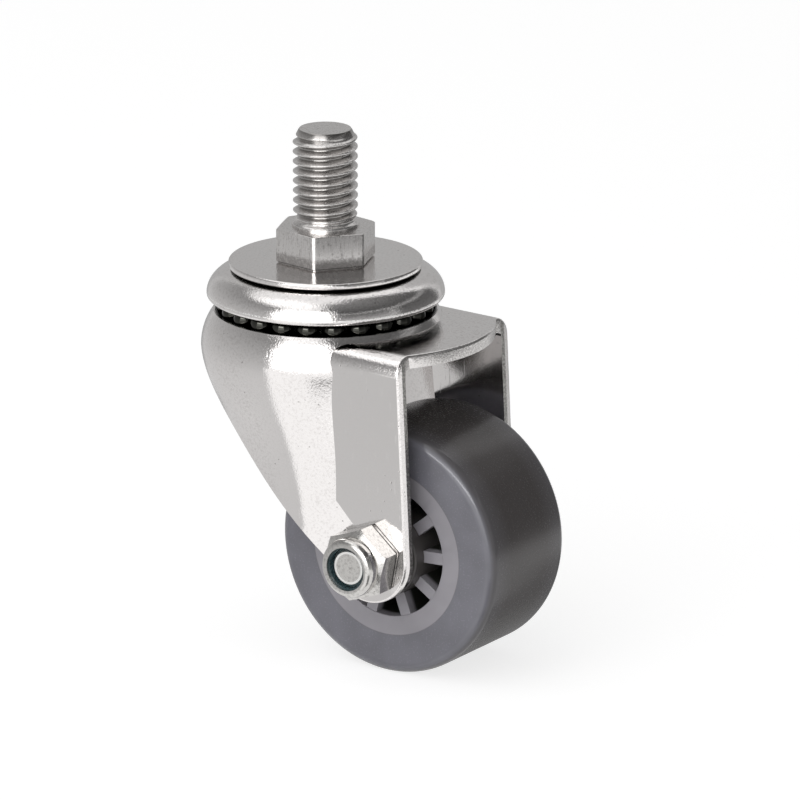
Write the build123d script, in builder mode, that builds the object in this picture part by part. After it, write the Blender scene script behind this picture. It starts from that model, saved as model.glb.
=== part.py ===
from build123d import *
import math
import os

# Swivel castor with a threaded stem and a 38 x 20 mm wheel, in millimetres.
# The origin is on the swivel axis, at the top of the stem's hexagon, where the castor seats.
# +Z runs up the stem, +X points to the trailing wheel and the axle lies along Y.

# Stem
thread_d = 9.8
thread_length = 14.85
thread_chamfer = 0.8
hex_across_flats = 13.5
hex_height = 5.35
hex_face_cut = 2.2
hex_face_slope = 5
hex_base_cut = 0.1
hex_turn = -9.5
shank_r = 6.0
rivet_shank_r = 5.0
rivet_head_r = 6.8
rivet_head_height = 1.6
rivet_head_round = 1.2

# Washer under the hexagon
washer_r = 14.6
washer_thickness = 1.0
washer_round = 0.35
bore_clearance = 0.1

# Upper race, the domed cup
cup_r = 17.9
cup_flat_r = 12.4
cup_drop = 4.05
cup_sheet = 2.2
cup_lip_round = 0.6

# Ball rows
upper_ball_d = 3.5
upper_ball_ring_r = 14.6
upper_ball_count = 24
first_ball_angle = 8.4
upper_ball_drop = 1.4
lower_ball_d = 3.5
lower_ball_ring_r = 8.8
lower_ball_count = 15
lower_ball_sink = 0.8
lower_race_wall = 1.6
lower_race_round = 1.5
lower_race_lip = 0.8
lower_race_sink = 0.5
ball_clearance = 0.12

# Fork, one pressed sheet
sheet = 2.0
fork_width = 30.0
lip_sink = 0.55
lip_width = 0.5
plate_sink = 0.45
plate_slope = 1.6
leg_bend_r = 3.0
shoulder_r = 18.8
shoulder_drop = 5.5
skirt_sections = [(3.0, 0.3, 0.09), (9.4, 2.3, 0.36), (20.0, 4.8, 0.68), (31.0, 7.4, 1)]
skirt_end_flare = 0.5
leg_back_x = 5.0
plate_bulge = 3.6
leg_front_x = 22.8
leg_end_r = 6.8
rear_edge_offset = 5.6
rear_edge_slope = 45
rear_edge_round = 3.0
crown_sink = 0.65
crown_hole_clearance = 1.0
crown_recess_clearance = 0.7
cut_edge_round = 0.45
trim_margin = 12.0

# Wheel
wheel_r = 19.0
wheel_width = 20.0
wheel_trail = 17.455
wheel_drop = 45.69
tyre_round = 1.5
hub_r = 13.0
window_outer_r = 10.0
hub_boss_r = 6.6
hub_side_gap = 1.0
hub_web = 3.0
hub_ridge_height = 1.0
hub_ridge_width = 7.0
spoke_count = 10
spoke_width = 1.8
spoke_sink = 0.15
spoke_root = 0.4
first_spoke_angle = 2.0
boss_round = 0.4
window_edge_round = 0.2

# Axle
bolt_d = 6.0
bolt_end_chamfer = 0.5
bolt_fit = 0.05
sleeve_r = 4.0
wheel_fit = 0.05
nut_across_flats = 10.0
nut_height = 6.0
nut_hex_height = 4.0
nut_face_cut = 1.2
nut_face_slope = 30
nut_base_cut = 0.5
nut_turn = 19.5
collar_r = 4.5
collar_round = 0.95
collar_mouth_r = 3.3
insert_r = 4.1
insert_height = 1.6
insert_sink = 0.5
bolt_head_height = 4.0
bolt_end_sink = 0.9

# Stack heights, from the seating face downwards
washer_top = -hex_height
cup_top = washer_top - washer_thickness
cup_widest_z = cup_top - cup_drop
cup_bottom = cup_widest_z - cup_lip_round
ball_track_r = upper_ball_d / 2 + ball_clearance
upper_ball_z = cup_bottom - upper_ball_drop
lip_top = upper_ball_z - lip_sink
lip_inner_r = upper_ball_ring_r + math.sqrt(ball_track_r**2 - lip_sink**2)
lip_outer_r = lip_inner_r + lip_width
plate_top = lip_top - plate_sink
crown_top = upper_ball_z - crown_sink
crown_under = crown_top - sheet
track_under = upper_ball_z - ball_track_r - sheet
shoulder_z = lip_top - shoulder_drop
lower_track_r = lower_ball_d / 2 + ball_clearance
lower_ball_z = crown_under - lower_ball_d / 2 + lower_ball_sink
lower_race_top = lower_ball_z - lower_race_sink
lower_race_bottom = lower_ball_z - lower_track_r - lower_race_wall
lower_race_r = lower_ball_ring_r + lower_track_r + lower_race_lip
crown_recess_r = lower_race_r + crown_recess_clearance
fork_half = fork_width / 2
skirt_narrowing = shoulder_r - fork_half - skirt_end_flare
hub_boss_length = fork_width - 2 * (sheet + hub_side_gap)
axle_z = -wheel_drop
axle = Plane((wheel_trail, 0, axle_z), x_dir=(1, 0, 0), z_dir=(0, -1, 0))
near_face = axle.offset(fork_half)
far_face = Plane((wheel_trail, fork_half, axle_z), x_dir=(1, 0, 0), z_dir=(0, 1, 0))


def hexagon_head(across_flats, height, turn, plane, face_cut, face_slope, base_cut):
    """A hexagon standing on a plane, its corners turned off by a cone at the face and at the base."""
    corner_r = across_flats / math.sqrt(3)
    slope = math.tan(math.radians(face_slope))
    with BuildPart() as head:
        with BuildSketch(plane):
            RegularPolygon(corner_r, 6, rotation=turn)
        extrude(amount=height)
        with BuildSketch(Plane(plane.origin, x_dir=plane.x_dir, z_dir=plane.x_dir.cross(plane.z_dir))):
            with BuildLine():
                Polyline((0, 0), (corner_r - base_cut, 0), (corner_r, base_cut * slope),
                         (corner_r, height - face_cut * slope), (corner_r - face_cut, height), (0, height),
                         close=True)
            make_face()
        revolve(axis=Axis(plane.origin, plane.z_dir), mode=Mode.INTERSECT)
    return head.part


# Stem: thread, hexagon and the shank that is riveted over below the lower race
stem_hexagon = hexagon_head(hex_across_flats, hex_height, hex_turn, Plane.XY.offset(washer_top),
                            hex_face_cut, hex_face_slope, hex_base_cut)
with BuildPart() as stem:
    add(stem_hexagon)
    with BuildSketch(Plane.XZ):
        with BuildLine():
            Polyline((0, thread_length), (thread_d / 2 - thread_chamfer, thread_length),
                     (thread_d / 2, thread_length - thread_chamfer), (thread_d / 2, washer_top),
                     (shank_r, washer_top), (shank_r, lower_race_top),
                     (rivet_shank_r, lower_race_top), (rivet_shank_r, lower_race_bottom),
                     (rivet_head_r, lower_race_bottom),
                     (rivet_head_r, lower_race_bottom - rivet_head_height),
                     (0, lower_race_bottom - rivet_head_height), close=True)
        make_face()
    revolve(axis=Axis.Z)
    fillet(stem.edges().group_by(Axis.Z)[0].filter_by(GeomType.CIRCLE), rivet_head_round)

# Washer clamped under the hexagon
with BuildPart() as top_washer:
    with BuildSketch(Plane.XY.offset(cup_top)):
        Circle(washer_r)
        Circle(shank_r + bore_clearance, mode=Mode.SUBTRACT)
    extrude(amount=washer_thickness)
    fillet(top_washer.edges().filter_by(GeomType.CIRCLE).sort_by(SortBy.RADIUS)[-2:], washer_round)

# Upper race: a sheet cup with a turned-in lip, coined to the balls inside
with BuildPart() as upper_race:
    with BuildSketch(Plane.XZ):
        with BuildLine():
            Line((shank_r + bore_clearance, cup_top), (cup_flat_r, cup_top))
            EllipticalCenterArc((cup_flat_r, cup_widest_z), cup_r - cup_flat_r, cup_drop,
                                start_angle=0, arc_size=90)
            CenterArc((cup_r - cup_lip_round, cup_widest_z), cup_lip_round, -90, 90)
            Polyline((cup_r - cup_lip_round, cup_bottom), (cup_r - cup_sheet, cup_bottom),
                     (cup_r - cup_sheet, cup_widest_z))
            EllipticalCenterArc((cup_flat_r, cup_widest_z), cup_r - cup_sheet - cup_flat_r,
                                cup_drop - cup_sheet, start_angle=0, arc_size=90)
            Polyline((cup_flat_r, cup_top - cup_sheet), (shank_r + bore_clearance, cup_top - cup_sheet),
                     (shank_r + bore_clearance, cup_top))
        make_face()
    revolve(axis=Axis.Z)
    with BuildSketch(Plane.XZ):
        with Locations((upper_ball_ring_r, upper_ball_z)):
            Circle(ball_track_r)
    revolve(axis=Axis.Z, mode=Mode.SUBTRACT)

# Full row of balls between the cup and the fork, seen below the cup's lip
with BuildPart() as upper_balls:
    with Locations((0, 0, upper_ball_z)):
        with PolarLocations(upper_ball_ring_r, upper_ball_count, start_angle=first_ball_angle):
            Sphere(upper_ball_d / 2)

# Full row of balls under the fork's crown
with BuildPart() as lower_balls:
    with Locations((0, 0, lower_ball_z)):
        with PolarLocations(lower_ball_ring_r, lower_ball_count):
            Sphere(lower_ball_d / 2)

# Lower race: a dished ring seated on the stem's shoulder and held by the riveted end
with BuildPart() as lower_race:
    with BuildSketch(Plane.XY.offset(lower_race_bottom)):
        Circle(lower_race_r)
        Circle(rivet_shank_r + bore_clearance, mode=Mode.SUBTRACT)
    extrude(amount=lower_race_top - lower_race_bottom)
    fillet(lower_race.edges().group_by(Axis.Z)[0].filter_by(GeomType.CIRCLE).sort_by(SortBy.RADIUS)[-1],
           lower_race_round)
    with BuildSketch(Plane.XZ):
        with Locations((lower_ball_ring_r, lower_ball_z)):
            Circle(lower_track_r)
    revolve(axis=Axis.Z, mode=Mode.SUBTRACT)


def shoulder_and_skirt(inset):
    """The round part of the fork as a solid: its outside at inset 0, its inside at the sheet's thickness."""
    top = track_under if inset else lip_top
    top_r = lip_outer_r - inset
    with BuildPart() as form:
        with BuildSketch(Plane.XZ):
            with BuildLine():
                Polyline((0, shoulder_z), (0, top), (top_r, top))
                TangentArc((shoulder_r - inset, shoulder_z), (top_r, top), tangent=(0, 1))
                Line((shoulder_r - inset, shoulder_z), (0, shoulder_z))
            make_face()
        revolve(axis=Axis.Z)
        with BuildSketch(Plane.XY.offset(shoulder_z)):
            Circle(shoulder_r - inset)
        for drop, lean, share in skirt_sections:
            with BuildSketch(Plane.XY.offset(shoulder_z - drop)):
                with Locations((lean, 0)):
                    Circle(shoulder_r - share * skirt_narrowing - inset)
        loft()
    return form.part


def plate_z(x):
    """Height of the sloping top plate's upper face."""
    return plate_top - x * math.tan(math.radians(plate_slope))


# Points of the leg's side view: a straight front edge, a round end about the axle and a slanted rear edge
front_rise = wheel_drop + plate_z(leg_front_x)
front_reach = wheel_trail - leg_front_x
front_distance = math.hypot(front_rise, front_reach)
front_angle = math.atan2(front_rise, -front_reach) - math.acos(leg_end_r / front_distance)
front_tangent = (wheel_trail + leg_end_r * math.cos(front_angle), axle_z + leg_end_r * math.sin(front_angle))
rear_angle = math.radians(180 + rear_edge_slope) - math.acos(rear_edge_offset / leg_end_r)
rear_corner = (wheel_trail + leg_end_r * math.cos(rear_angle), axle_z + leg_end_r * math.sin(rear_angle))


def leg_side_view(back_x, top_points):
    """Side view down to the leg's end, behind which the rear edge rises to back_x."""
    back_z = rear_corner[1] + (rear_corner[0] - back_x) * math.tan(math.radians(rear_edge_slope))
    with BuildSketch() as side_view:
        with BuildLine():
            Polyline(front_tangent, *top_points, (back_x, back_z), rear_corner)
            ThreePointArc(rear_corner, (wheel_trail, axle_z - leg_end_r), front_tangent)
        make_face()
        fillet(side_view.vertices().sort_by(Axis.Y)[0], rear_edge_round)
    return side_view.sketch


# Flat legs and top plate as one block, its bends and cut edges rounded
plate = Plane((0, 0, plate_top)).rotated((0, plate_slope, 0))
leg_top = (leg_front_x, plate_z(leg_front_x))
leg_view = leg_side_view(leg_back_x, [leg_top, (leg_back_x, plate_z(leg_back_x))])
with BuildPart() as leg_block:
    with BuildSketch(Plane.XZ):
        add(leg_view)
    extrude(amount=fork_half, both=True)
    fillet(leg_block.edges().filter_by(Axis((0, 0, 0), plate.x_dir)).group_by(Axis.Z)[-1], leg_bend_r)
    fillet(leg_block.edges().filter_by(GeomType.CIRCLE).group_by(Axis.Z)[0], cut_edge_round)

# Curved front of the top plate, from one bend to the other
plate_half = fork_half - leg_bend_r
plate_front_r = (plate_half**2 + plate_bulge**2) / (2 * plate_bulge)
with BuildPart() as plate_front:
    with BuildSketch(plate):
        with Locations((leg_front_x + plate_bulge - plate_front_r, 0)):
            Circle(plate_front_r)
        with Locations((leg_back_x, 0)):
            Rectangle(leg_front_x + plate_bulge, 2 * plate_half, align=(Align.MIN, Align.CENTER),
                      mode=Mode.INTERSECT)
    extrude(amount=-leg_bend_r)
    fillet(plate_front.edges().filter_by(GeomType.CIRCLE).sort_by(Axis.Z)[-1], cut_edge_round)

# Round shoulder and skirt, cut off below by the rear edge
skirt_back_x = -shoulder_r - trim_margin
skirt_view = leg_side_view(skirt_back_x, [leg_top, (leg_front_x, 0), (skirt_back_x, 0)])
skirt_outside = shoulder_and_skirt(0)
with BuildPart() as skirt:
    add(skirt_outside)
    with BuildSketch(Plane.XZ):
        add(skirt_view)
    extrude(amount=fork_width, both=True, mode=Mode.INTERSECT)

# Hollow under the plate and between the legs, and inside the shoulder, skirt and crown
skirt_inside = shoulder_and_skirt(sheet)
room_back = Plane((leg_back_x, 0, plate_z(leg_back_x) - sheet), x_dir=(0, 1, 0), z_dir=plate.x_dir)
with BuildPart() as fork_hollow:
    add(skirt_inside)
    with BuildSketch(room_back) as room:
        Rectangle(2 * (fork_half - sheet), wheel_drop + leg_end_r, align=(Align.CENTER, Align.MAX))
        fillet(room.vertices().group_by(Axis.Y)[-1], leg_bend_r - sheet)
    extrude(amount=leg_front_x + trim_margin)
    with BuildSketch(Plane.XY.offset(crown_under)):
        Circle(crown_recess_r)
    extrude(amount=-ball_track_r)

# Fork: pressed sheet with a raised ball track in its crown, a round shoulder and two flat legs
with BuildPart() as fork:
    add(skirt.part)
    add(leg_block.part)
    add(plate_front.part)
    add(fork_hollow.part, mode=Mode.SUBTRACT)
    with BuildSketch(Plane.XY.offset(crown_top)):
        Circle(upper_ball_ring_r)
    extrude(amount=lip_top - crown_top, mode=Mode.SUBTRACT)
    with BuildSketch(Plane.XZ):
        with Locations((upper_ball_ring_r, upper_ball_z)):
            Circle(ball_track_r)
        with Locations((lower_ball_ring_r, lower_ball_z)):
            Circle(lower_track_r)
    revolve(axis=Axis.Z, mode=Mode.SUBTRACT)
    with Locations((0, 0, crown_top)):
        Hole(shank_r + crown_hole_clearance)
    with Locations(near_face):
        Hole(bolt_d / 2 + bore_clearance)

# Hub: rim, spokes on a middle web and a boss that turns on the sleeve
with BuildPart() as wheel_hub:
    with BuildSketch(axle):
        Circle(hub_r)
        Circle(window_outer_r, mode=Mode.SUBTRACT)
    extrude(amount=wheel_width / 2, both=True)
    fillet(wheel_hub.edges().filter_by(GeomType.CIRCLE).sort_by(SortBy.RADIUS)[:2], window_edge_round)
    with BuildSketch(axle):
        Circle(hub_r + hub_ridge_height)
        Circle(window_outer_r, mode=Mode.SUBTRACT)
    extrude(amount=hub_ridge_width / 2, both=True)
    with BuildSketch(axle):
        Circle(window_outer_r)
    extrude(amount=hub_web / 2, both=True)
    with BuildSketch(axle):
        Circle(hub_boss_r)
    extrude(amount=hub_boss_length / 2, both=True)
    boss_edges = wheel_hub.edges().filter_by(GeomType.CIRCLE).group_by(Axis.Y)
    fillet(boss_edges[0] + boss_edges[-1], boss_round)
    with BuildSketch(axle):
        with PolarLocations((hub_boss_r + window_outer_r) / 2, spoke_count, start_angle=first_spoke_angle):
            Rectangle(window_outer_r - hub_boss_r + 2 * spoke_root, spoke_width)
    extrude(amount=wheel_width / 2 - spoke_sink, both=True)
    with Locations(axle.offset(hub_boss_length / 2)):
        Hole(sleeve_r + wheel_fit)

# Tyre moulded round the hub's rim and its ridge
with BuildPart() as tyre:
    with BuildSketch(axle):
        Circle(wheel_r)
        Circle(hub_r, mode=Mode.SUBTRACT)
    extrude(amount=wheel_width / 2, both=True)
    with BuildSketch(axle):
        Circle(hub_r + hub_ridge_height)
    extrude(amount=hub_ridge_width / 2, both=True, mode=Mode.SUBTRACT)
    fillet(tyre.edges().filter_by(GeomType.CIRCLE).sort_by(SortBy.RADIUS)[-2:], tyre_round)

# Sleeve between the legs, which the hub turns on
with BuildPart() as axle_sleeve:
    with BuildSketch(axle):
        Circle(sleeve_r)
        Circle(bolt_d / 2 + bolt_fit, mode=Mode.SUBTRACT)
    extrude(amount=fork_half - sheet, both=True)

# Axle bolt: head on the far leg, shank through both legs to the lock nut
bolt_head = hexagon_head(nut_across_flats, bolt_head_height, nut_turn, far_face,
                         nut_face_cut, nut_face_slope, nut_base_cut)
with BuildPart() as axle_bolt:
    add(bolt_head)
    with BuildSketch(far_face):
        Circle(bolt_d / 2)
    extrude(amount=-(fork_width + nut_height - bolt_end_sink))
    chamfer(axle_bolt.edges().filter_by(GeomType.CIRCLE).sort_by(Axis.Y)[0], bolt_end_chamfer)

# Lock nut: hexagon with a round collar that holds the plastic ring
nut_hexagon = hexagon_head(nut_across_flats, nut_hex_height, nut_turn, near_face,
                           nut_face_cut, nut_face_slope, nut_base_cut)
nut_face = near_face.offset(nut_height)
insert_face = nut_face.offset(-insert_sink)
with BuildPart() as lock_nut:
    add(nut_hexagon)
    with BuildSketch(near_face):
        Circle(collar_r)
    extrude(amount=nut_height)
    fillet(lock_nut.edges().filter_by(GeomType.CIRCLE).sort_by(Axis.Y)[0], collar_round)
    with Locations(nut_face):
        Hole(bolt_d / 2 + bolt_fit)
    with BuildSketch(nut_face):
        Circle(collar_mouth_r)
    extrude(amount=-insert_sink, mode=Mode.SUBTRACT)
    with BuildSketch(insert_face):
        Circle(insert_r)
    extrude(amount=-insert_height, mode=Mode.SUBTRACT)

# Plastic ring that grips the bolt's thread
with BuildPart() as nut_insert:
    with BuildSketch(insert_face):
        Circle(insert_r)
        Circle(bolt_d / 2 + bolt_fit, mode=Mode.SUBTRACT)
    extrude(amount=-insert_height)

pieces = {
    "stem": stem,
    "top_washer": top_washer,
    "upper_race": upper_race,
    "upper_balls": upper_balls,
    "lower_balls": lower_balls,
    "lower_race": lower_race,
    "fork": fork,
    "wheel_hub": wheel_hub,
    "tyre": tyre,
    "axle_sleeve": axle_sleeve,
    "axle_bolt": axle_bolt,
    "lock_nut": lock_nut,
    "nut_insert": nut_insert,
}
os.makedirs("parts", exist_ok=True)
for name, piece in pieces.items():
    piece.part.label = name
    export_step(piece.part, f"parts/{name}.step")
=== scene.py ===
import math
import bmesh
import bpy
from mathutils import Matrix, Vector


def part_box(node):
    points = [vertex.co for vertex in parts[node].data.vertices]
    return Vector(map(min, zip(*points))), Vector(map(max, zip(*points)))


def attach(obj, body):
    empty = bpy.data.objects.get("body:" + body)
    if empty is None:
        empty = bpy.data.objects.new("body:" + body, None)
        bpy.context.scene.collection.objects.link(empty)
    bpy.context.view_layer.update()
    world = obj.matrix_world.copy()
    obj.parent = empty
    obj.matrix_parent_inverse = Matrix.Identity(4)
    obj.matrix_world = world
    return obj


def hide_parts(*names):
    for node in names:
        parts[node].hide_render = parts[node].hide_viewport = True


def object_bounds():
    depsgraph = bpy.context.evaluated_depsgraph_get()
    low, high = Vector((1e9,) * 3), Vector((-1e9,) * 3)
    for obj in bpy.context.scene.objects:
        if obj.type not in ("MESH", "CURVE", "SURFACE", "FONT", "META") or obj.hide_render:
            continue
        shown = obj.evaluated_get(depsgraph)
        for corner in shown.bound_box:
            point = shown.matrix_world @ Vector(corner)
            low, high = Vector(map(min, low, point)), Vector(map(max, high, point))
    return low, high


# Swivel castor with a threaded stem. Metres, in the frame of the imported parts:
# the origin is at the top of the hexagon, +Z runs up the stem and the axle lies along Y.
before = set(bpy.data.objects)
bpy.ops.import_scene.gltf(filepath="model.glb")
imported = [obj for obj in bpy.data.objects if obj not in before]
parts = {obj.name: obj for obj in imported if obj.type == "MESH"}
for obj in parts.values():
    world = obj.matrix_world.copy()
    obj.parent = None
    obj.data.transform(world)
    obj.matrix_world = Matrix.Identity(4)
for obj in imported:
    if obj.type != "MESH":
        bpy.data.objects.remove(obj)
cadLow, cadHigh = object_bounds()
scene = bpy.context.scene
scene.view_settings.view_transform = "Standard"
mm = 0.001
print("frame loaded,", len(parts), "parts")


# Shared helpers for node trees

def addNode(tree, kind, inputs=None, **settings):
    made = tree.nodes.new(kind)
    for name, value in settings.items():
        setattr(made, name, value)
    for name, value in (inputs or {}).items():
        if isinstance(value, bpy.types.NodeSocket):
            tree.links.new(value, made.inputs[name])
        else:
            made.inputs[name].default_value = value
    return made


def calculate(tree, operation, first, second=0.0):
    return addNode(tree, "ShaderNodeMath", {0: first, 1: second}, operation=operation).outputs[0]


def multiply(tree, first, *others):
    for other in others:
        first = calculate(tree, "MULTIPLY", first, other)
    return first


def remap(tree, value, fromLow, fromHigh, toLow=0.0, toHigh=1.0):
    inputs = {"Value": value, "From Min": fromLow, "From Max": fromHigh, "To Min": toLow, "To Max": toHigh}
    return addNode(tree, "ShaderNodeMapRange", inputs).outputs["Result"]


def mixColours(tree, factor, first, second):
    return addNode(tree, "ShaderNodeMix", {0: factor, 6: first, 7: second}, data_type="RGBA").outputs[2]


def mixValues(tree, factor, first, second):
    return addNode(tree, "ShaderNodeMix", {0: factor, 2: first, 3: second}).outputs[0]


def vectorMath(tree, operation, first, second=(0, 0, 0)):
    return addNode(tree, "ShaderNodeVectorMath", {0: first, 1: second}, operation=operation).outputs


def splitVector(tree, vector):
    return addNode(tree, "ShaderNodeSeparateXYZ", {0: vector}).outputs


def stretch(tree, vector, scale, turn=(0, 0, 0)):
    inputs = {"Vector": vector, "Scale": scale, "Rotation": [math.radians(angle) for angle in turn]}
    return addNode(tree, "ShaderNodeMapping", inputs).outputs["Vector"]


def noise(tree, vector, scale, detail):
    inputs = {"Vector": vector, "Scale": scale, "Detail": detail}
    return addNode(tree, "ShaderNodeTexNoise", inputs).outputs[0]


def addBump(tree, height, depth, normal=None):
    inputs = {"Height": height, "Distance": depth * mm, "Strength": 1.0}
    if normal:
        inputs["Normal"] = normal
    return addNode(tree, "ShaderNodeBump", inputs).outputs["Normal"]


def newMaterial(name):
    material = bpy.data.materials.new(name)
    material.use_nodes = True
    return material, material.node_tree, material.node_tree.nodes["Principled BSDF"]


def partCoordinates(tree):
    # The place on the part in millimetres, and the way its surface faces, both along the frame's axes
    coordinates = addNode(tree, "ShaderNodeTexCoord").outputs
    inputs = {0: coordinates["Object"], "Scale": 1 / mm}
    place = addNode(tree, "ShaderNodeVectorMath", inputs, operation="SCALE").outputs[0]
    return place, coordinates["Normal"]


def seenOrMirrored(tree):
    # 1 for what the camera sees, straight or by way of metal and glass
    path = addNode(tree, "ShaderNodeLightPath").outputs
    mirrored = calculate(tree, "ADD", path["Is Glossy Ray"], path["Is Transmission Ray"])
    return calculate(tree, "MAXIMUM", path["Is Camera Ray"], mirrored)


# Camera at the photograph's viewing angle
cameraView = dict(azimuth=33.639, elevation=16.403, roll=-0.107, distance=1.30532, lens=389.99,
                  sensorWidth=36, target=(0.00924, 0.00615, -0.02748))


def addCamera(view):
    azimuth, elevation, roll = (math.radians(view[name]) for name in ("azimuth", "elevation", "roll"))
    back = Vector((math.sin(azimuth) * math.cos(elevation), -math.cos(azimuth) * math.cos(elevation),
                   math.sin(elevation)))
    level = Vector((math.cos(azimuth), math.sin(azimuth), 0))
    upright = back.cross(level)
    right = math.cos(roll) * level + math.sin(roll) * upright
    up = math.cos(roll) * upright - math.sin(roll) * level
    camera = bpy.data.objects.new("camera", bpy.data.cameras.new("camera"))
    camera.data.lens = view["lens"]
    camera.data.sensor_width = view["sensorWidth"]
    place = Matrix((right, up, back)).transposed().to_4x4()
    place.translation = Vector(view["target"]) + view["distance"] * back
    camera.matrix_world = place
    scene.collection.objects.link(camera)
    scene.camera = camera


addCamera(cameraView)
print("camera placed")


# Studio: a pale floor, soft lamps, a plain world and the cards that the polished metal mirrors
studio = dict(centre=(0.008, 0, -0.025), fillLight=0.34, floorSize=4.0, floorColour=(0.82, 0.82, 0.82, 1),
              floorGlow=0.76, floorShade=(0.42, 0.42, 0.42, 1))
lamps = dict(
    sideSoftbox=dict(azimuth=-86, elevation=17, distance=1.1, width=1.25, height=1.25, radiance=1.3),
    topSoftbox=dict(azimuth=-125, elevation=66, distance=1.3, width=1.1, height=1.1, radiance=1.1),
)
# Each card is a patch of a sphere round the castor, seen only by reflection: azimuth, elevation and soft edge
# in degrees, shade at its foot and at its top. Where two overlap, the one named first is in front
cards = dict(
    stripCard=dict(azimuth=(-106, -56), elevation=(14, 28), edge=3, shade=(7.0, 7.0)),
    sideCard=dict(azimuth=(-109, -50), elevation=(-7, 48), edge=2.5, shade=(2.0, 2.0)),
    topCard=dict(azimuth=(-172, -74), elevation=(51, 80), edge=4, shade=(1.4, 1.4)),
    footCard=dict(azimuth=(-72, -34), elevation=(-52, -21), edge=3, shade=(0.22, 0.30)),
    sweepCard=dict(azimuth=(-115, -46), elevation=(-44, -6), edge=2.5, shade=(1.15, 1.15)),
    leftCard=dict(azimuth=(-212, -106), elevation=(-38, 49), edge=3, shade=(0.76, 0.26)),
    backCard=dict(azimuth=(84, 152), elevation=(-24, 47), edge=6, shade=(0.42, 0.50)),
    lowCard=dict(azimuth=(61, 150), elevation=(-46, -21), edge=3, shade=(0.34, 0.30)),
    rightCard=dict(azimuth=(-51, 14), elevation=(-8, 32), edge=3, shade=(0.50, 0.07)),
    darkCard=dict(azimuth=(12, 86), elevation=(-14, 34), edge=6, shade=(0.18, 0.09)),
    ceilingCard=dict(azimuth=(-60, 80), elevation=(30, 84), edge=5, shade=(0.06, 0.26)),
)
# Metres from the studio's centre to the first card, and from one card to the next
cardDistance, cardGap = 0.93, 0.004
cardColumns, cardRows = 24, 16


def direction(azimuth, elevation):
    azimuth, elevation = math.radians(azimuth), math.radians(elevation)
    return Vector((math.cos(azimuth) * math.cos(elevation), math.sin(azimuth) * math.cos(elevation),
                   math.sin(elevation)))


def addWorld():
    world = bpy.data.worlds.new("studio")
    world.use_nodes = True
    scene.world = world
    tree = world.node_tree
    tree.nodes.clear()
    fill = addNode(tree, "ShaderNodeBackground", {"Color": (1, 1, 1, 1), "Strength": studio["fillLight"]})
    white = addNode(tree, "ShaderNodeBackground", {"Color": (1, 1, 1, 1), "Strength": 1.0})
    shares = {0: seenOrMirrored(tree), 1: fill.outputs[0], 2: white.outputs[0]}
    mixed = addNode(tree, "ShaderNodeMixShader", shares)
    addNode(tree, "ShaderNodeOutputWorld", {"Surface": mixed.outputs[0]})


def addFloor():
    half = studio["floorSize"] / 2
    mesh = bpy.data.meshes.new("floor")
    corners = [(x * half, y * half, cadLow.z) for x, y in ((-1, -1), (1, -1), (1, 1), (-1, 1))]
    mesh.from_pydata(corners, [], [(0, 1, 2, 3)])
    floor = bpy.data.objects.new("floor", mesh)
    scene.collection.objects.link(floor)
    material = bpy.data.materials.new("floor")
    material.use_nodes = True
    tree = material.node_tree
    tree.nodes.clear()
    plain = addNode(tree, "ShaderNodeBsdfDiffuse", {"Color": studio["floorColour"]})
    shaded = addNode(tree, "ShaderNodeBsdfDiffuse", {"Color": studio["floorShade"]})
    glow = addNode(tree, "ShaderNodeEmission", {"Color": (1, 1, 1, 1), "Strength": studio["floorGlow"]})
    white = addNode(tree, "ShaderNodeAddShader", {0: shaded.outputs[0], 1: glow.outputs[0]})
    shares = {0: seenOrMirrored(tree), 1: plain.outputs[0], 2: white.outputs[0]}
    mixed = addNode(tree, "ShaderNodeMixShader", shares)
    addNode(tree, "ShaderNodeOutputMaterial", {"Surface": mixed.outputs[0]})
    mesh.materials.append(material)
    floor.visible_glossy = False


def addLamp(name, lamp):
    light = bpy.data.lights.new(name, "AREA")
    light.shape = "RECTANGLE"
    light.size = lamp["width"]
    light.size_y = lamp["height"]
    light.energy = lamp["radiance"] * math.pi * lamp["width"] * lamp["height"]
    softbox = bpy.data.objects.new(name, light)
    back = direction(lamp["azimuth"], lamp["elevation"])
    softbox.location = Vector(studio["centre"]) + lamp["distance"] * back
    softbox.rotation_euler = back.to_track_quat("Z", "Y").to_euler()
    softbox.visible_glossy = False
    scene.collection.objects.link(softbox)


def cardMaterial(name, card):
    material = bpy.data.materials.new(name)
    material.use_nodes = True
    tree = material.node_tree
    tree.nodes.clear()
    place = splitVector(tree, addNode(tree, "ShaderNodeUVMap").outputs[0])
    solid = 1.0
    for axis, (low, high) in (("X", card["azimuth"]), ("Y", card["elevation"])):
        fromEdge = calculate(tree, "MINIMUM", place[axis], calculate(tree, "SUBTRACT", 1.0, place[axis]))
        solid = calculate(tree, "MINIMUM", solid, remap(tree, fromEdge, 0.0, card["edge"] / (high - low)))
    grey = remap(tree, place["Y"], 0.0, 1.0, *card["shade"])
    glow = addNode(tree, "ShaderNodeEmission", {"Color": (1, 1, 1, 1), "Strength": grey})
    clear = addNode(tree, "ShaderNodeBsdfTransparent")
    mixed = addNode(tree, "ShaderNodeMixShader", {0: solid, 1: clear.outputs[0], 2: glow.outputs[0]})
    addNode(tree, "ShaderNodeOutputMaterial", {"Surface": mixed.outputs[0]})
    return material


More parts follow.
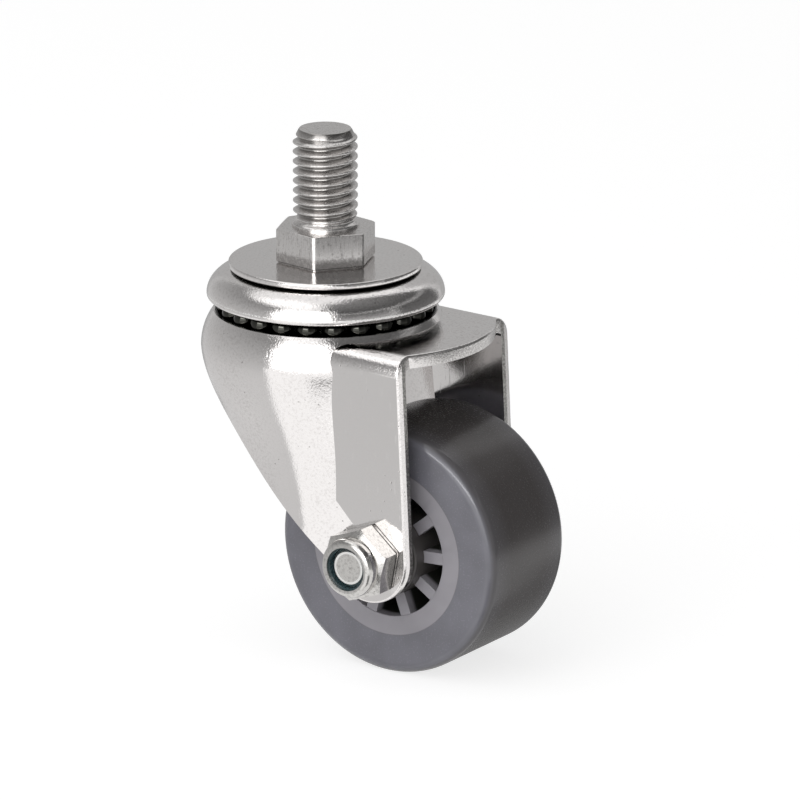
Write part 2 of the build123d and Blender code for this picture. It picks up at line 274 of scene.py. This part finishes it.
def addCard(name, card, distance):
    grid = bmesh.new()
    layer = grid.loops.layers.uv.new("UVMap")
    (left, right), (foot, top) = card["azimuth"], card["elevation"]
    rows = []
    for j in range(cardRows + 1):
        elevation = foot + (top - foot) * j / cardRows
        turns = [left + (right - left) * i / cardColumns for i in range(cardColumns + 1)]
        rows.append([grid.verts.new(Vector(studio["centre"]) + distance * direction(turn, elevation))
                     for turn in turns])
    for j in range(cardRows):
        for i in range(cardColumns):
            places = [(i, j), (i + 1, j), (i + 1, j + 1), (i, j + 1)]
            face = grid.faces.new([rows[row][column] for column, row in places])
            for loop, (column, row) in zip(face.loops, places):
                loop[layer].uv = (column / cardColumns, row / cardRows)
    mesh = bpy.data.meshes.new(name)
    grid.to_mesh(mesh)
    grid.free()
    screen = bpy.data.objects.new(name, mesh)
    mesh.materials.append(cardMaterial(name, card))
    scene.collection.objects.link(screen)
    screen.visible_camera = False
    screen.visible_diffuse = False
    screen.visible_shadow = False


addWorld()
addFloor()
for lampName, lampValues in lamps.items():
    addLamp(lampName, lampValues)
for cardNumber, (cardName, cardValues) in enumerate(cards.items()):
    addCard(cardName, cardValues, cardDistance + cardGap * cardNumber)
print("studio built:", len(lamps), "lamps,", len(cards), "cards")


# Finishes of the steel pieces. Places and depths are in millimetres, and scales per millimetre. A pair of
# places runs from where a mark starts to where it is full, and a pair named Facing does so by how far the
# surface's normal points along an axis
softEdge = 0.1
nickelPlate = dict(colour=(0.80, 0.776, 0.766, 1), dullColour=(0.68, 0.655, 0.643, 1), roughness=(0.06, 0.13),
                   waveScale=0.16, waveDepth=0.02, grainScale=3.4, grainDepth=0.028, flatGrain=0.12,
                   mottleScale=2.6, scratchDepth=0.0012, pitDepth=0.012)
zincPlate = dict(colour=(0.74, 0.725, 0.70, 1), dullColour=(0.50, 0.485, 0.47, 1), roughness=(0.11, 0.22),
                 waveScale=0.5, waveDepth=0.015, grainScale=3.4, grainDepth=0.012,
                 mottleScale=2.2, scratchDepth=0.003, pitDepth=0.012)
nutPlate = dict(zincPlate, colour=(0.62, 0.607, 0.588, 1), dullColour=(0.45, 0.438, 0.425, 1),
                roughness=(0.11, 0.20))
# The balls' steel is darkened almost to black: painted shade of the gap between the cup and the fork
shadedBallSteel = dict(colour=(0.05, 0.05, 0.045, 1), dullColour=(0.04, 0.04, 0.035, 1), roughness=(0.05, 0.09),
                 waveScale=0.3, waveDepth=0.002, grainScale=3.4, grainDepth=0.001,
                 mottleScale=1.0, scratchDepth=0.001, pitDepth=0.002)
wear = dict(waveDetail=1.5, waveRange=(0.3, 0.75), grainDetail=3.0,
            mottleDetail=5.0, mottleRange=(0.48, 0.72),
            scratches=(dict(angle=(12, 28, 74), length=3.0, closeness=3.1),
                       dict(angle=(64, -18, 20), length=4.0, closeness=3.4)),
            scratchCover=(0.70, 0.735), scratchRoughness=0.1, pitScale=0.8, pitSize=(0.13, 0.065),
            clusterScale=0.248, clusterCover=(0.58, 0.63), pitShare=0.55, pitColour=(0.16, 0.15, 0.14, 1))
forkPlaces = dict(legInside=13.0, legFront=(19.0, 20.0), flatFacing=(0.975, 0.998), frontFacing=(0.86, 0.95),
                  rollFacing=(0.6, 0.8), downFacing=(-0.5, -0.62), sideFacing=(0.34, 0.2))
cutEdge = dict(colour=(0.24, 0.235, 0.225, 1), paleColour=(0.52, 0.51, 0.49, 1), roughness=0.42, depth=0.02,
               gritScale=3.2, gritDetail=4.0, gritRange=(0.42, 0.62), darkWidth=0.8, darkBlend=0.12,
               plateShare=0.5, plateBlend=0.2, rollFrom=13.85, rollSlope=0.6)
# Painted shade: a near-black colour for the groove of the upper balls and the underside of the cup
grooveShade = dict(colour=(0.022, 0.023, 0.019, 1), roughness=0.3, trackRadius=16.7, cupRadius=17.5,
                  lowest=-15.0, highest=-11.2, underFacing=(-0.3, -0.6))
# Painted highlight: a broken pale ring round the cup's lip
cupHighlightRing = dict(height=-10.15, width=(0.14, 0.07), radius=17.3, broken=(0.36, 0.52),
               colour=(0.96, 0.95, 0.93, 1), roughness=0.38)


def scratches(tree, place, scratch):
    # Long thin marks: a noise drawn out along one direction, cut to its crests
    along = 1 / scratch["length"]
    drawn = stretch(tree, place, (scratch["closeness"], along, along), scratch["angle"])
    return remap(tree, noise(tree, drawn, 1.0, 1.0), *wear["scratchCover"])


def pits(tree, place):
    # Small round dents that come in clusters
    cells = addNode(tree, "ShaderNodeTexVoronoi", {"Vector": place, "Scale": wear["pitScale"]})
    spots = remap(tree, cells.outputs["Distance"], *wear["pitSize"])
    clusters = remap(tree, noise(tree, place, wear["clusterScale"], 0.0), *wear["clusterCover"])
    return multiply(tree, spots, clusters)


def coat(tree, mask, colour, rough, coatColour, coatRoughness):
    return mixColours(tree, mask, colour, coatColour), mixValues(tree, mask, rough, coatRoughness)


def polishedSteel(name, finish, flats=None, sheared=None, shadedGroove=None, highlighted=None):
    material, tree, surface = newMaterial(name)
    place, facing = partCoordinates(tree)
    broad = noise(tree, place, finish["waveScale"], wear["waveDetail"])
    grain = noise(tree, place, finish["grainScale"], wear["grainDetail"])
    mottle = noise(tree, place, finish["mottleScale"], wear["mottleDetail"])
    formed = remap(tree, flats(tree, facing), 0.0, 1.0, 1.0, finish["flatGrain"]) if flats else 1.0
    marks = calculate(tree, "MAXIMUM", *(scratches(tree, place, scratch) for scratch in wear["scratches"]))
    spots = pits(tree, place)
    dull = multiply(tree, remap(tree, mottle, *wear["mottleRange"]), formed)
    colour = mixColours(tree, dull, finish["colour"], finish["dullColour"])
    colour = mixColours(tree, multiply(tree, spots, wear["pitShare"]), colour, wear["pitColour"])
    rough = calculate(tree, "ADD", remap(tree, broad, *wear["waveRange"], *finish["roughness"]),
                      multiply(tree, marks, wear["scratchRoughness"]))
    normal = rolledEdge(tree, place, facing) if sheared else None
    normal = addBump(tree, broad, finish["waveDepth"], normal)
    normal = addBump(tree, multiply(tree, grain, formed), finish["grainDepth"], normal)
    normal = addBump(tree, marks, -finish["scratchDepth"], normal)
    normal = addBump(tree, spots, -finish["pitDepth"], normal)
    if sheared:
        mask = sheared(tree, place, facing)
        grit = noise(tree, place, cutEdge["gritScale"], cutEdge["gritDetail"])
        pale = remap(tree, grit, *cutEdge["gritRange"])
        edgeColour = mixColours(tree, pale, cutEdge["colour"], cutEdge["paleColour"])
        colour, rough = coat(tree, mask, colour, rough, edgeColour, cutEdge["roughness"])
        normal = addBump(tree, multiply(tree, grit, mask), cutEdge["depth"], normal)
    # Painted highlight along the cup's lip
    if highlighted:
        mask = highlighted(tree, place, grain)
        colour, rough = coat(tree, mask, colour, rough, cupHighlightRing["colour"], cupHighlightRing["roughness"])
    # Painted shade in the ball groove and under the cup
    if shadedGroove:
        mask = shadedGroove(tree, place, facing)
        colour, rough = coat(tree, mask, colour, rough, grooveShade["colour"], grooveShade["roughness"])
    surface.inputs["Metallic"].default_value = 1.0
    tree.links.new(colour, surface.inputs["Base Color"])
    tree.links.new(rough, surface.inputs["Roughness"])
    tree.links.new(normal, surface.inputs["Normal"])
    return material


def radiusFromStem(tree, place):
    level = vectorMath(tree, "MULTIPLY", place, (1, 1, 0))[0]
    return vectorMath(tree, "LENGTH", level)["Value"]


def flatSides(tree, facing):
    # 1 on the flat legs, 0 wherever the sheet was drawn or bent
    sideways = calculate(tree, "ABSOLUTE", splitVector(tree, facing)["Y"])
    return remap(tree, sideways, *forkPlaces["flatFacing"])


def forkCutEdges(tree, place, facing):
    # The sheared faces of the pressed sheet look forwards or downwards. The legs' are torn dark along the
    # inside and rolled bright along the outside, and the plate's is paler
    normal, spot = splitVector(tree, facing), splitVector(tree, place)
    fromMiddle = calculate(tree, "ABSOLUTE", spot["Y"])
    legInside = forkPlaces["legInside"]
    darkOutside = legInside + cutEdge["darkWidth"]
    forwards = multiply(tree, remap(tree, normal["X"], *forkPlaces["frontFacing"]),
                        remap(tree, spot["X"], *forkPlaces["legFront"]),
                        remap(tree, fromMiddle, darkOutside + cutEdge["darkBlend"], darkOutside),
                        remap(tree, fromMiddle, legInside - cutEdge["plateBlend"], legInside,
                              cutEdge["plateShare"], 1.0))
    sideways = calculate(tree, "ABSOLUTE", normal["Y"])
    downwards = multiply(tree, remap(tree, normal["Z"], *forkPlaces["downFacing"]),
                         remap(tree, sideways, *forkPlaces["sideFacing"]))
    return calculate(tree, "MAXIMUM", forwards, downwards)


def rolledEdge(tree, place, facing):
    # The die rolled the outside of the legs' front edge, so its normal leans outwards there
    normal, spot = splitVector(tree, facing), splitVector(tree, place)
    fromMiddle = calculate(tree, "ABSOLUTE", spot["Y"])
    rollFrom = cutEdge["rollFrom"]
    lean = multiply(tree, remap(tree, fromMiddle, rollFrom - softEdge, rollFrom + softEdge),
                    remap(tree, normal["X"], *forkPlaces["rollFacing"]),
                    remap(tree, spot["X"], *forkPlaces["legFront"]), cutEdge["rollSlope"])
    side = multiply(tree, calculate(tree, "SIGN", spot["Y"]), lean)
    outwards = addNode(tree, "ShaderNodeCombineXYZ", {"Y": side}).outputs[0]
    leaning = vectorMath(tree, "ADD", facing, outwards)[0]
    turned = addNode(tree, "ShaderNodeVectorTransform", {0: leaning}, vector_type="NORMAL",
                     convert_from="OBJECT", convert_to="WORLD").outputs[0]
    return vectorMath(tree, "NORMALIZE", turned)[0]


def paintCupHighlight(tree, place, grain):
    # A broken bright line of painted highlight runs round the cup where the die turned its lip down
    fromLine = calculate(tree, "SUBTRACT", splitVector(tree, place)["Z"], cupHighlightRing["height"])
    return multiply(tree, remap(tree, calculate(tree, "ABSOLUTE", fromLine), *cupHighlightRing["width"]),
                    remap(tree, radiusFromStem(tree, place), cupHighlightRing["radius"], cupHighlightRing["radius"] + softEdge),
                    remap(tree, grain, *cupHighlightRing["broken"]))


def shadeNearBalls(tree, place, facing):
    # Painted shade fills the groove of the upper balls and darkens the underside of the cup
    height = splitVector(tree, place)["Z"]
    radius = radiusFromStem(tree, place)
    lowest, highest = grooveShade["lowest"], grooveShade["highest"]
    trackRadius, cupRadius = grooveShade["trackRadius"], grooveShade["cupRadius"]
    track = multiply(tree, remap(tree, height, lowest - softEdge, lowest + softEdge),
                     remap(tree, height, highest, highest - softEdge),
                     remap(tree, radius, trackRadius, trackRadius - softEdge))
    under = multiply(tree, remap(tree, splitVector(tree, facing)["Z"], *grooveShade["underFacing"]),
                     remap(tree, radius, cupRadius, cupRadius - softEdge))
    return calculate(tree, "MAXIMUM", track, under)


# The stem is dark at the hexagon's foot, and painted shade darkens the thread's valleys. The sleeve is drawn
# tube
satinSteel = dict(colour=(0.70, 0.68, 0.668, 1), dullColour=(0.40, 0.385, 0.375, 1), roughness=(0.19, 0.28),
                  streaks=(3.4, 3.4, 0.5), streakDepth=0.004, darkFoot=(-3.5, -3.8),
                  valleyShadeColour=(0.20, 0.19, 0.18, 1), valleyShadeRadius=(4.6, 4.0), valleyShadeFoot=(1.2, 1.6),
                  valleyShadeShare=0.72, valleyShadeFacing=(0.97, 0.9))
sleeveSteel = dict(colour=(0.52, 0.51, 0.5, 1), dullColour=(0.3, 0.29, 0.28, 1), roughness=(0.25, 0.4),
                   streaks=(0.6, 3.0, 0.6), streakDepth=0.008)
brushing = dict(streakDetail=4.0, streakRange=(0.46, 0.70), speckleScale=2.6, speckleDetail=3.0,
                speckleRange=(0.4, 0.62), footSpeckleRange=(0.36, 0.56), footSpeckleShare=(0.15, 0.8),
                roughRange=(0.3, 0.7))


def brushedSteel(name, finish):
    material, tree, surface = newMaterial(name)
    place, facing = partCoordinates(tree)
    height = splitVector(tree, place)["Z"]
    drawn = noise(tree, stretch(tree, place, finish["streaks"]), 1.0, brushing["streakDetail"])
    speckle = noise(tree, place, brushing["speckleScale"], brushing["speckleDetail"])
    dull = multiply(tree, remap(tree, drawn, *brushing["streakRange"]),
                    remap(tree, speckle, *brushing["speckleRange"]))
    # Darker in speckles towards the hexagon's foot
    if "darkFoot" in finish:
        tinted = multiply(tree, remap(tree, height, *finish["darkFoot"]),
                        remap(tree, speckle, *brushing["footSpeckleRange"], *brushing["footSpeckleShare"]))
        dull = calculate(tree, "MAXIMUM", dull, tinted)
    colour = mixColours(tree, dull, finish["colour"], finish["dullColour"])
    if "valleyShadeColour" in finish:
        # Painted shade darkens the thread's valleys, not its top face
        recessShade = multiply(tree, remap(tree, radiusFromStem(tree, place), *finish["valleyShadeRadius"]),
                        remap(tree, splitVector(tree, facing)["Z"], *finish["valleyShadeFacing"]),
                        remap(tree, height, *finish["valleyShadeFoot"], 0.0, finish["valleyShadeShare"]))
        colour = mixColours(tree, recessShade, colour, finish["valleyShadeColour"])
    rough = remap(tree, speckle, *brushing["roughRange"], *finish["roughness"])
    surface.inputs["Metallic"].default_value = 1.0
    tree.links.new(colour, surface.inputs["Base Color"])
    tree.links.new(rough, surface.inputs["Roughness"])
    tree.links.new(addBump(tree, calculate(tree, "ADD", drawn, speckle), finish["streakDepth"]),
                   surface.inputs["Normal"])
    return material


# The wheel's axle lies along Y through the middle of the tyre
tyreLow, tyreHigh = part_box("tyre")
wheelAxle = Vector(((tyreLow.x + tyreHigh.x) / 2, 0, (tyreLow.z + tyreHigh.z) / 2))


def radiusFromAxle(tree, place):
    centred = vectorMath(tree, "SUBTRACT", place, wheelAxle / mm)[0]
    flat = vectorMath(tree, "MULTIPLY", centred, (1, 0, 1))[0]
    return vectorMath(tree, "LENGTH", flat)["Value"]


# Heights of the painted contact shade are counted from the outside of the leg
contactShade = dict(colour=(0.045, 0.043, 0.04, 1), legFace=15.0, bright=0.17, height=0.52, blend=0.08)
# Painted highlight: a bright ring on the chamfer at the bolt's end
boltRimHighlight = dict(colour=(0.97, 0.96, 0.94, 1), roughness=0.3, radius=(2.1, 2.2), outside=(-16.9, -17.0))


def fastenerSteel(name, finish, rimHighlight=None):
    # Zinc plate with a bright chamfer, painted shade in a dark line along the leg, and a painted highlight on
    # the rim at the bolt's end
    material = polishedSteel(name, finish)
    tree = material.node_tree
    surface = tree.nodes["Principled BSDF"]
    place = partCoordinates(tree)[0]
    along = splitVector(tree, place)["Y"]
    fromLeg = calculate(tree, "SUBTRACT", calculate(tree, "ABSOLUTE", along), contactShade["legFace"])
    # Painted shade where the nut and the bolt's head meet the leg
    seamShade = multiply(tree, remap(tree, fromLeg, contactShade["height"], contactShade["height"] - contactShade["blend"]),
                    remap(tree, fromLeg, contactShade["bright"], contactShade["bright"] + contactShade["blend"]))
    colour = surface.inputs["Base Color"].links[0].from_socket
    colour = mixColours(tree, seamShade, colour, contactShade["colour"])
    # Painted highlight on the rim at the bolt's end
    if rimHighlight:
        tinted = multiply(tree, remap(tree, radiusFromAxle(tree, place), *rimHighlight["radius"]),
                        remap(tree, along, *rimHighlight["outside"]))
        rough = surface.inputs["Roughness"].links[0].from_socket
        colour, rough = coat(tree, tinted, colour, rough, rimHighlight["colour"], rimHighlight["roughness"])
        tree.links.new(rough, surface.inputs["Roughness"])
    tree.links.new(colour, surface.inputs["Base Color"])
    return material


nickelFork = polishedSteel("nickel_fork", nickelPlate, flatSides, forkCutEdges, shadeNearBalls)
nickelRaces = polishedSteel("nickel_races", nickelPlate, shadedGroove=shadeNearBalls, highlighted=paintCupHighlight)
zincNut = fastenerSteel("zinc_nut", nutPlate)
zincBolt = fastenerSteel("zinc_bolt", zincPlate, boltRimHighlight)
shadeDarkBalls = polishedSteel("shade_dark_balls", shadedBallSteel)
stemSatin = brushedSteel("stem_satin", satinSteel)
sleeveSatin = brushedSteel("sleeve_satin", sleeveSteel)


# Finishes of the wheel and the nut's ring, by the distance from the axle and from the wheel's middle
tyreRubber = dict(colour=(0.215, 0.213, 0.243, 1), cloudColour=(0.185, 0.183, 0.208, 1),
                  roughness=(0.22, 0.29), grainDepth=0.0008,
                  # Painted shade: the tread is the side's rubber coloured darker, with a painted sheen
                  # lighter towards its edges
                  treadShadeColour=(0.076, 0.069, 0.068, 1), treadShadeRadius=(18.3, 18.8),
                  treadSheenColour=(0.125, 0.12, 0.128, 1), treadSheenWidth=(4.5, 9.8),
                  filletRoughness=0.11, filletRadius=(17.4, 17.6), filletFrom=(8.2, 8.6))
hubPlastic = dict(colour=(0.37, 0.355, 0.385, 1), cloudColour=(0.33, 0.318, 0.345, 1), roughness=(0.3, 0.42),
                  # Painted shade darkens the hub's pockets, its boss and the seam against the tyre
                  grainDepth=0.002, windowShadeColour=(0.022, 0.023, 0.019, 1), windowShadeDepth=(8.7, 7.9),
                  bossShadeColour=(0.085, 0.078, 0.076, 1), bossShadeRadius=(6.75, 6.65),
                  seamShadeRadius=(12.86, 12.96), seamShadeShare=0.5)
nylonRing = dict(colour=(0.010, 0.028, 0.034, 1), cloudColour=(0.03, 0.06, 0.068, 1), roughness=(0.18, 0.35),
                 grainDepth=0.008)
moulding = dict(cloudScale=0.22, cloudDetail=2.0, cloudRange=(0.35, 0.68), grainScale=3.5, grainDetail=4.0,
                grainRange=(0.3, 0.7))


def mouldedPlastic(name, finish):
    material, tree, surface = newMaterial(name)
    place = partCoordinates(tree)[0]
    cloud = noise(tree, place, moulding["cloudScale"], moulding["cloudDetail"])
    grain = noise(tree, place, moulding["grainScale"], moulding["grainDetail"])
    radius = radiusFromAxle(tree, place)
    fromMiddle = calculate(tree, "ABSOLUTE", splitVector(tree, place)["Y"])
    clouded = remap(tree, cloud, *moulding["cloudRange"])
    colour = mixColours(tree, clouded, finish["colour"], finish["cloudColour"])
    rough = remap(tree, grain, *moulding["grainRange"], *finish["roughness"])
    # Painted shade darkens the tread, and a painted sheen lightens it towards the edges
    if "treadShadeColour" in finish:
        edge = remap(tree, fromMiddle, *finish["treadSheenWidth"])
        treadShadeColour = mixColours(tree, edge, finish["treadShadeColour"], finish["treadSheenColour"])
        colour = mixColours(tree, remap(tree, radius, *finish["treadShadeRadius"]), colour, treadShadeColour)
        fillet = multiply(tree, remap(tree, fromMiddle, *finish["filletFrom"]),
                          remap(tree, radius, *finish["filletRadius"]))
        rough = mixValues(tree, fillet, rough, finish["filletRoughness"])
    # Painted shade in the hub's pockets, on its boss and along the seam against the tyre
    if "windowShadeColour" in finish:
        recessShade = remap(tree, fromMiddle, *finish["windowShadeDepth"])
        bossShade = remap(tree, radius, *finish["bossShadeRadius"])
        seamShade = remap(tree, radius, *finish["seamShadeRadius"], 0.0, finish["seamShadeShare"])
        colour = mixColours(tree, recessShade, colour, finish["windowShadeColour"])
        colour = mixColours(tree, bossShade, colour, finish["bossShadeColour"])
        colour = mixColours(tree, seamShade, colour, finish["windowShadeColour"])
    tree.links.new(colour, surface.inputs["Base Color"])
    tree.links.new(rough, surface.inputs["Roughness"])
    tree.links.new(addBump(tree, grain, finish["grainDepth"]), surface.inputs["Normal"])
    return material


tyreGrey = mouldedPlastic("tyre_grey", tyreRubber)
hubGrey = mouldedPlastic("hub_grey", hubPlastic)
nylonBlue = mouldedPlastic("nylon_blue", nylonRing)

partFinishes = dict(fork=nickelFork, upper_race=nickelRaces, top_washer=nickelRaces, lower_race=nickelRaces,
                    upper_balls=shadeDarkBalls, lower_balls=shadeDarkBalls, axle_bolt=zincBolt,
                    lock_nut=zincNut, nut_insert=nylonBlue, axle_sleeve=sleeveSatin, wheel_hub=hubGrey,
                    tyre=tyreGrey, stem=stemSatin)


# Edges flatter than the angle, in degrees, are shaded smooth, and points nearer than the gap are joined
shading = dict(angle=24, gap=0.002)


def smoothingGroup(angle, gap):
    group = bpy.data.node_groups.new("smoothing", "GeometryNodeTree")
    group.interface.new_socket("Geometry", in_out="INPUT", socket_type="NodeSocketGeometry")
    group.interface.new_socket("Geometry", in_out="OUTPUT", socket_type="NodeSocketGeometry")
    arriving = group.nodes.new("NodeGroupInput")
    joined = addNode(group, "GeometryNodeMergeByDistance",
                     {"Geometry": arriving.outputs[0], "Distance": gap * mm})
    bend = addNode(group, "GeometryNodeInputMeshEdgeAngle")
    gentle = addNode(group, "FunctionNodeCompare", {0: bend.outputs[0], 1: math.radians(angle)},
                     data_type="FLOAT", operation="LESS_THAN")
    faces = addNode(group, "GeometryNodeSetShadeSmooth",
                    {"Geometry": joined.outputs[0], "Shade Smooth": True})
    edges = addNode(group, "GeometryNodeSetShadeSmooth",
                    {"Geometry": faces.outputs[0], "Shade Smooth": gentle.outputs[0]}, domain="EDGE")
    leaving = group.nodes.new("NodeGroupOutput")
    group.links.new(edges.outputs[0], leaving.inputs[0])
    return group


smoothing = smoothingGroup(shading["angle"], shading["gap"])
for partName, finish in partFinishes.items():
    part = parts[partName]
    part.data.materials.clear()
    part.data.materials.append(finish)
    part.modifiers.new("smoothing", "NODES").node_group = smoothing
print("finishes on", len(partFinishes), "parts")


# Stem: the thread, the hexagon and the riveted shank as one turned piece, in millimetres and degrees
stemLow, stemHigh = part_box("stem")
hexHeight = -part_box("top_washer")[1].z / mm
stemShape = dict(crestRadius=4.87, rootRadius=3.93, pitch=1.5, phase=0.565, crestFlat=0.09, flank=0.56,
                 flankRound=0.4, columns=144, rowsPerPitch=20,
                 leadIn=1.0, leadCurve=0.8, leadBlend=(0.7, 1.5), topRadius=3.88, leadRadius=4.42,
                 neckRadius=4.45, flareRadius=5.1, flareHeight=(0.3, 0.95), fadeHeight=(0.9, 2.0),
                 hexAcrossFlats=13.5, hexTurn=-9.5, hexFaceCut=2.2, hexFaceSlope=5, hexEdge=0.16,
                 hexEdgeRound=0.3, hexCornerLand=0.11, hexBaseGap=0.16, hexBaseCut=0.4, hexColumns=180,
                 shankRadius=6.0, shankColumns=96, ballRadius=1.25, rivetShankRadius=5.0, rivetRadius=6.8,
                 rivetRound=1.2, rivetSteps=8, weldDistance=0.0005)


def easeBetween(value, low, high):
    share = min(max((value - low) / (high - low), 0.0), 1.0)
    return share * share * (3 - 2 * share)


def threadRadius(shape, turn, height, length):
    # Distance from the nearest crest along the axis gives the flank, eased at the crest and the root
    phase = (height / shape["pitch"] - turn + shape["phase"]) % 1.0
    fromCrest = abs(phase - 0.5) * shape["pitch"]
    share = 1 - min(max((fromCrest - shape["crestFlat"]) / shape["flank"], 0.0), 1.0)
    eased = (1 - shape["flankRound"]) * share + shape["flankRound"] * easeBetween(share, 0.0, 1.0)
    radius = shape["rootRadius"] + (shape["crestRadius"] - shape["rootRadius"]) * eased
    flare = 1 - easeBetween(height, *shape["flareHeight"])
    neck = shape["neckRadius"] + (shape["flareRadius"] - shape["neckRadius"]) * flare
    radius = neck + (radius - neck) * easeBetween(height, *shape["fadeHeight"])
    fromTop = length - height
    opening = min(fromTop / shape["leadIn"], 1.0) ** shape["leadCurve"]
    lead = shape["topRadius"] + (shape["leadRadius"] - shape["topRadius"]) * opening
    blendFrom, blendTo = shape["leadIn"] * shape["leadBlend"][0], shape["leadIn"] * shape["leadBlend"][1]
    return lead + (radius - lead) * easeBetween(fromTop, blendFrom, blendTo)


def addThread(mesh, shape, length):
    # The rows of points climb by one pitch in a turn, along the thread, and stop at its foot and its top
    columns, rows = shape["columns"], shape["rowsPerPitch"]
    step = shape["pitch"] / rows
    count = int(length / step) + rows + 3
    rings = []
    for i in range(columns):
        turn = i / columns
        angle = 2 * math.pi * turn
        column = []
        for j in range(count):
            height = min(max((j - rows - 1 + rows * turn) * step, 0.0), length)
            radius = threadRadius(shape, turn, height, length) * mm
            column.append(mesh.verts.new((radius * math.cos(angle), radius * math.sin(angle), height * mm)))
        rings.append(column)
    for i in range(columns):
        nextColumn = rings[(i + 1) % columns]
        shift = rows if i == columns - 1 else 0  # a turn on, the thread has climbed by one pitch of rows
        for j in range(count - 1 - shift):
            mesh.faces.new((rings[i][j], nextColumn[j + shift], nextColumn[j + 1 + shift], rings[i][j + 1]))
    top = mesh.verts.new((0, 0, length * mm))
    for i in range(columns):
        mesh.faces.new((rings[i][-1], rings[(i + 1) % columns][-1], top))


def addTurned(mesh, outline, columns):
    # outline lists (radius, height) from one end of the axis to the other
    rings = []
    for radius, height in outline:
        rings.append([mesh.verts.new((radius * math.cos(2 * math.pi * i / columns) * mm,
                                      radius * math.sin(2 * math.pi * i / columns) * mm, height * mm))
                      for i in range(columns)])
    for lower, upper in zip(rings, rings[1:]):
        for i in range(columns):
            after = (i + 1) % columns
            mesh.faces.new((lower[i], lower[after], upper[after], upper[i]))


def addHexagon(mesh, shape):
    # Every column carries its own height for the turned-off corner, so that the curved edges stay crisp
    columns = shape["hexColumns"]
    cornerRadius = shape["hexAcrossFlats"] / math.sqrt(3)
    faceRadius = cornerRadius - shape["hexFaceCut"]
    slope = math.tan(math.radians(shape["hexFaceSlope"]))
    edge = shape["hexEdge"]
    corner = shape["hexEdgeRound"] * edge
    base = -hexHeight + shape["hexBaseGap"]
    rings = []
    for i in range(columns):
        angle = 360 * i / columns
        fromFlat = math.radians((angle + 30) % 60 - 30)
        side = min(shape["hexAcrossFlats"] / 2 / math.cos(fromFlat), cornerRadius - shape["hexCornerLand"])
        around = math.radians(angle + 30 + shape["hexTurn"])
        shoulder = -(side - faceRadius) * slope
        outline = [(shape["shankRadius"], -hexHeight), (side - shape["hexBaseCut"], -hexHeight),
                   (side - shape["hexBaseCut"], base), (side - edge, base), (side, base + edge),
                   (side, shoulder - edge), (side - corner, shoulder - corner),
                   (side - edge, shoulder + edge * slope), (faceRadius, 0.0), (shape["rootRadius"], 0.0)]
        points = [Vector((radius * math.cos(around), radius * math.sin(around), height)) * mm
                  for radius, height in outline]
        rings.append([mesh.verts.new(point) for point in points])
    for i in range(columns):
        here, after = rings[i], rings[(i + 1) % columns]
        for j in range(len(here) - 1):
            mesh.faces.new((here[j], after[j], after[j + 1], here[j + 1]))


def buildStem(shape):
    mesh = bmesh.new()
    addThread(mesh, shape, stemHigh.z / mm)
    addHexagon(mesh, shape)
    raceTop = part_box("lower_balls")[0].z / mm + shape["ballRadius"]
    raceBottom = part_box("lower_race")[0].z / mm
    bottom = stemLow.z / mm
    head = []
    for i in range(shape["rivetSteps"] + 1):
        angle = math.pi / 2 * i / shape["rivetSteps"]
        head.append((shape["rivetRadius"] - shape["rivetRound"] * (1 - math.sin(angle)),
                     bottom + shape["rivetRound"] * (1 - math.cos(angle))))
    addTurned(mesh, [(0.0, bottom), *head, (shape["rivetRadius"], raceBottom),
                     (shape["rivetShankRadius"], raceBottom), (shape["rivetShankRadius"], raceTop),
                     (shape["shankRadius"], raceTop), (shape["shankRadius"], -hexHeight)],
              shape["shankColumns"])
    bmesh.ops.remove_doubles(mesh, verts=mesh.verts, dist=shape["weldDistance"] * mm)
    bmesh.ops.recalc_face_normals(mesh, faces=mesh.faces)
    data = bpy.data.meshes.new("threaded_stem")
    mesh.to_mesh(data)
    mesh.free()
    data.materials.append(stemSatin)
    stem = bpy.data.objects.new("threaded_stem", data)
    scene.collection.objects.link(stem)
    stem.modifiers.new("smoothing", "NODES").node_group = smoothing
    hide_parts("stem")
    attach(stem, "stem_group")


buildStem(stemShape)
print("stem threaded")
